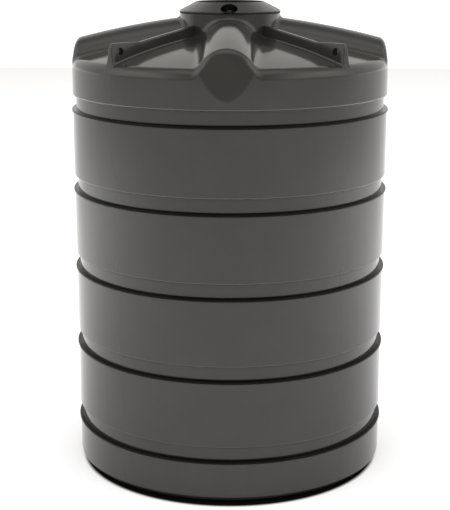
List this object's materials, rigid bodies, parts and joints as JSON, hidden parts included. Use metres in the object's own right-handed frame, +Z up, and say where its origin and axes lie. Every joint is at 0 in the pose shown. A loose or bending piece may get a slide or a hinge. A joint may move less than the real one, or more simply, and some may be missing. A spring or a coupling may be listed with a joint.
{
  "type": "round water tank",
  "caption": "Tall round moulded tank for rainwater with ring grooves, a domed roof with half-round humps and lifting ribs, and a screwed manhole cover that holds a strainer basket.",
  "frame": {"origin": "centre of the flat underside, on the ground", "axes": "+Z up along the tank's axis; one hump points along each of +X, +Y, -X and -Y, and the ribs lie between them"},
  "size_m": [1.4618, 1.4619, 2.1455],
  "materials": {
    "tank_plastic": "smooth, slightly wavy moulded polyethylene, dark warm grey",
    "cover_plastic": "smooth moulded polyethylene, dark warm grey",
    "basket_plastic": "satin black",
    "seal_rubber": "matt black",
    "mesh_steel": "woven wire, dull",
    "black_steel": "satin black",
    "insert_brass": "machined"
  },
  "bodies": {
    "root": {"tank_shell": "tank_plastic", "manhole_cover": "cover_plastic", "manhole_seal": "seal_rubber", "strainer_basket": "basket_plastic", "mesh_screen": "mesh_steel", "cover_screw_1": "black_steel", "cover_washer_1": "black_steel", "thread_insert_1": "insert_brass", "cover_screw_2": "black_steel", "cover_washer_2": "black_steel", "thread_insert_2": "insert_brass", "cover_screw_3": "black_steel", "cover_washer_3": "black_steel", "thread_insert_3": "insert_brass", "cover_screw_4": "black_steel", "cover_washer_4": "black_steel", "thread_insert_4": "insert_brass"}
  },
  "joints": []
}
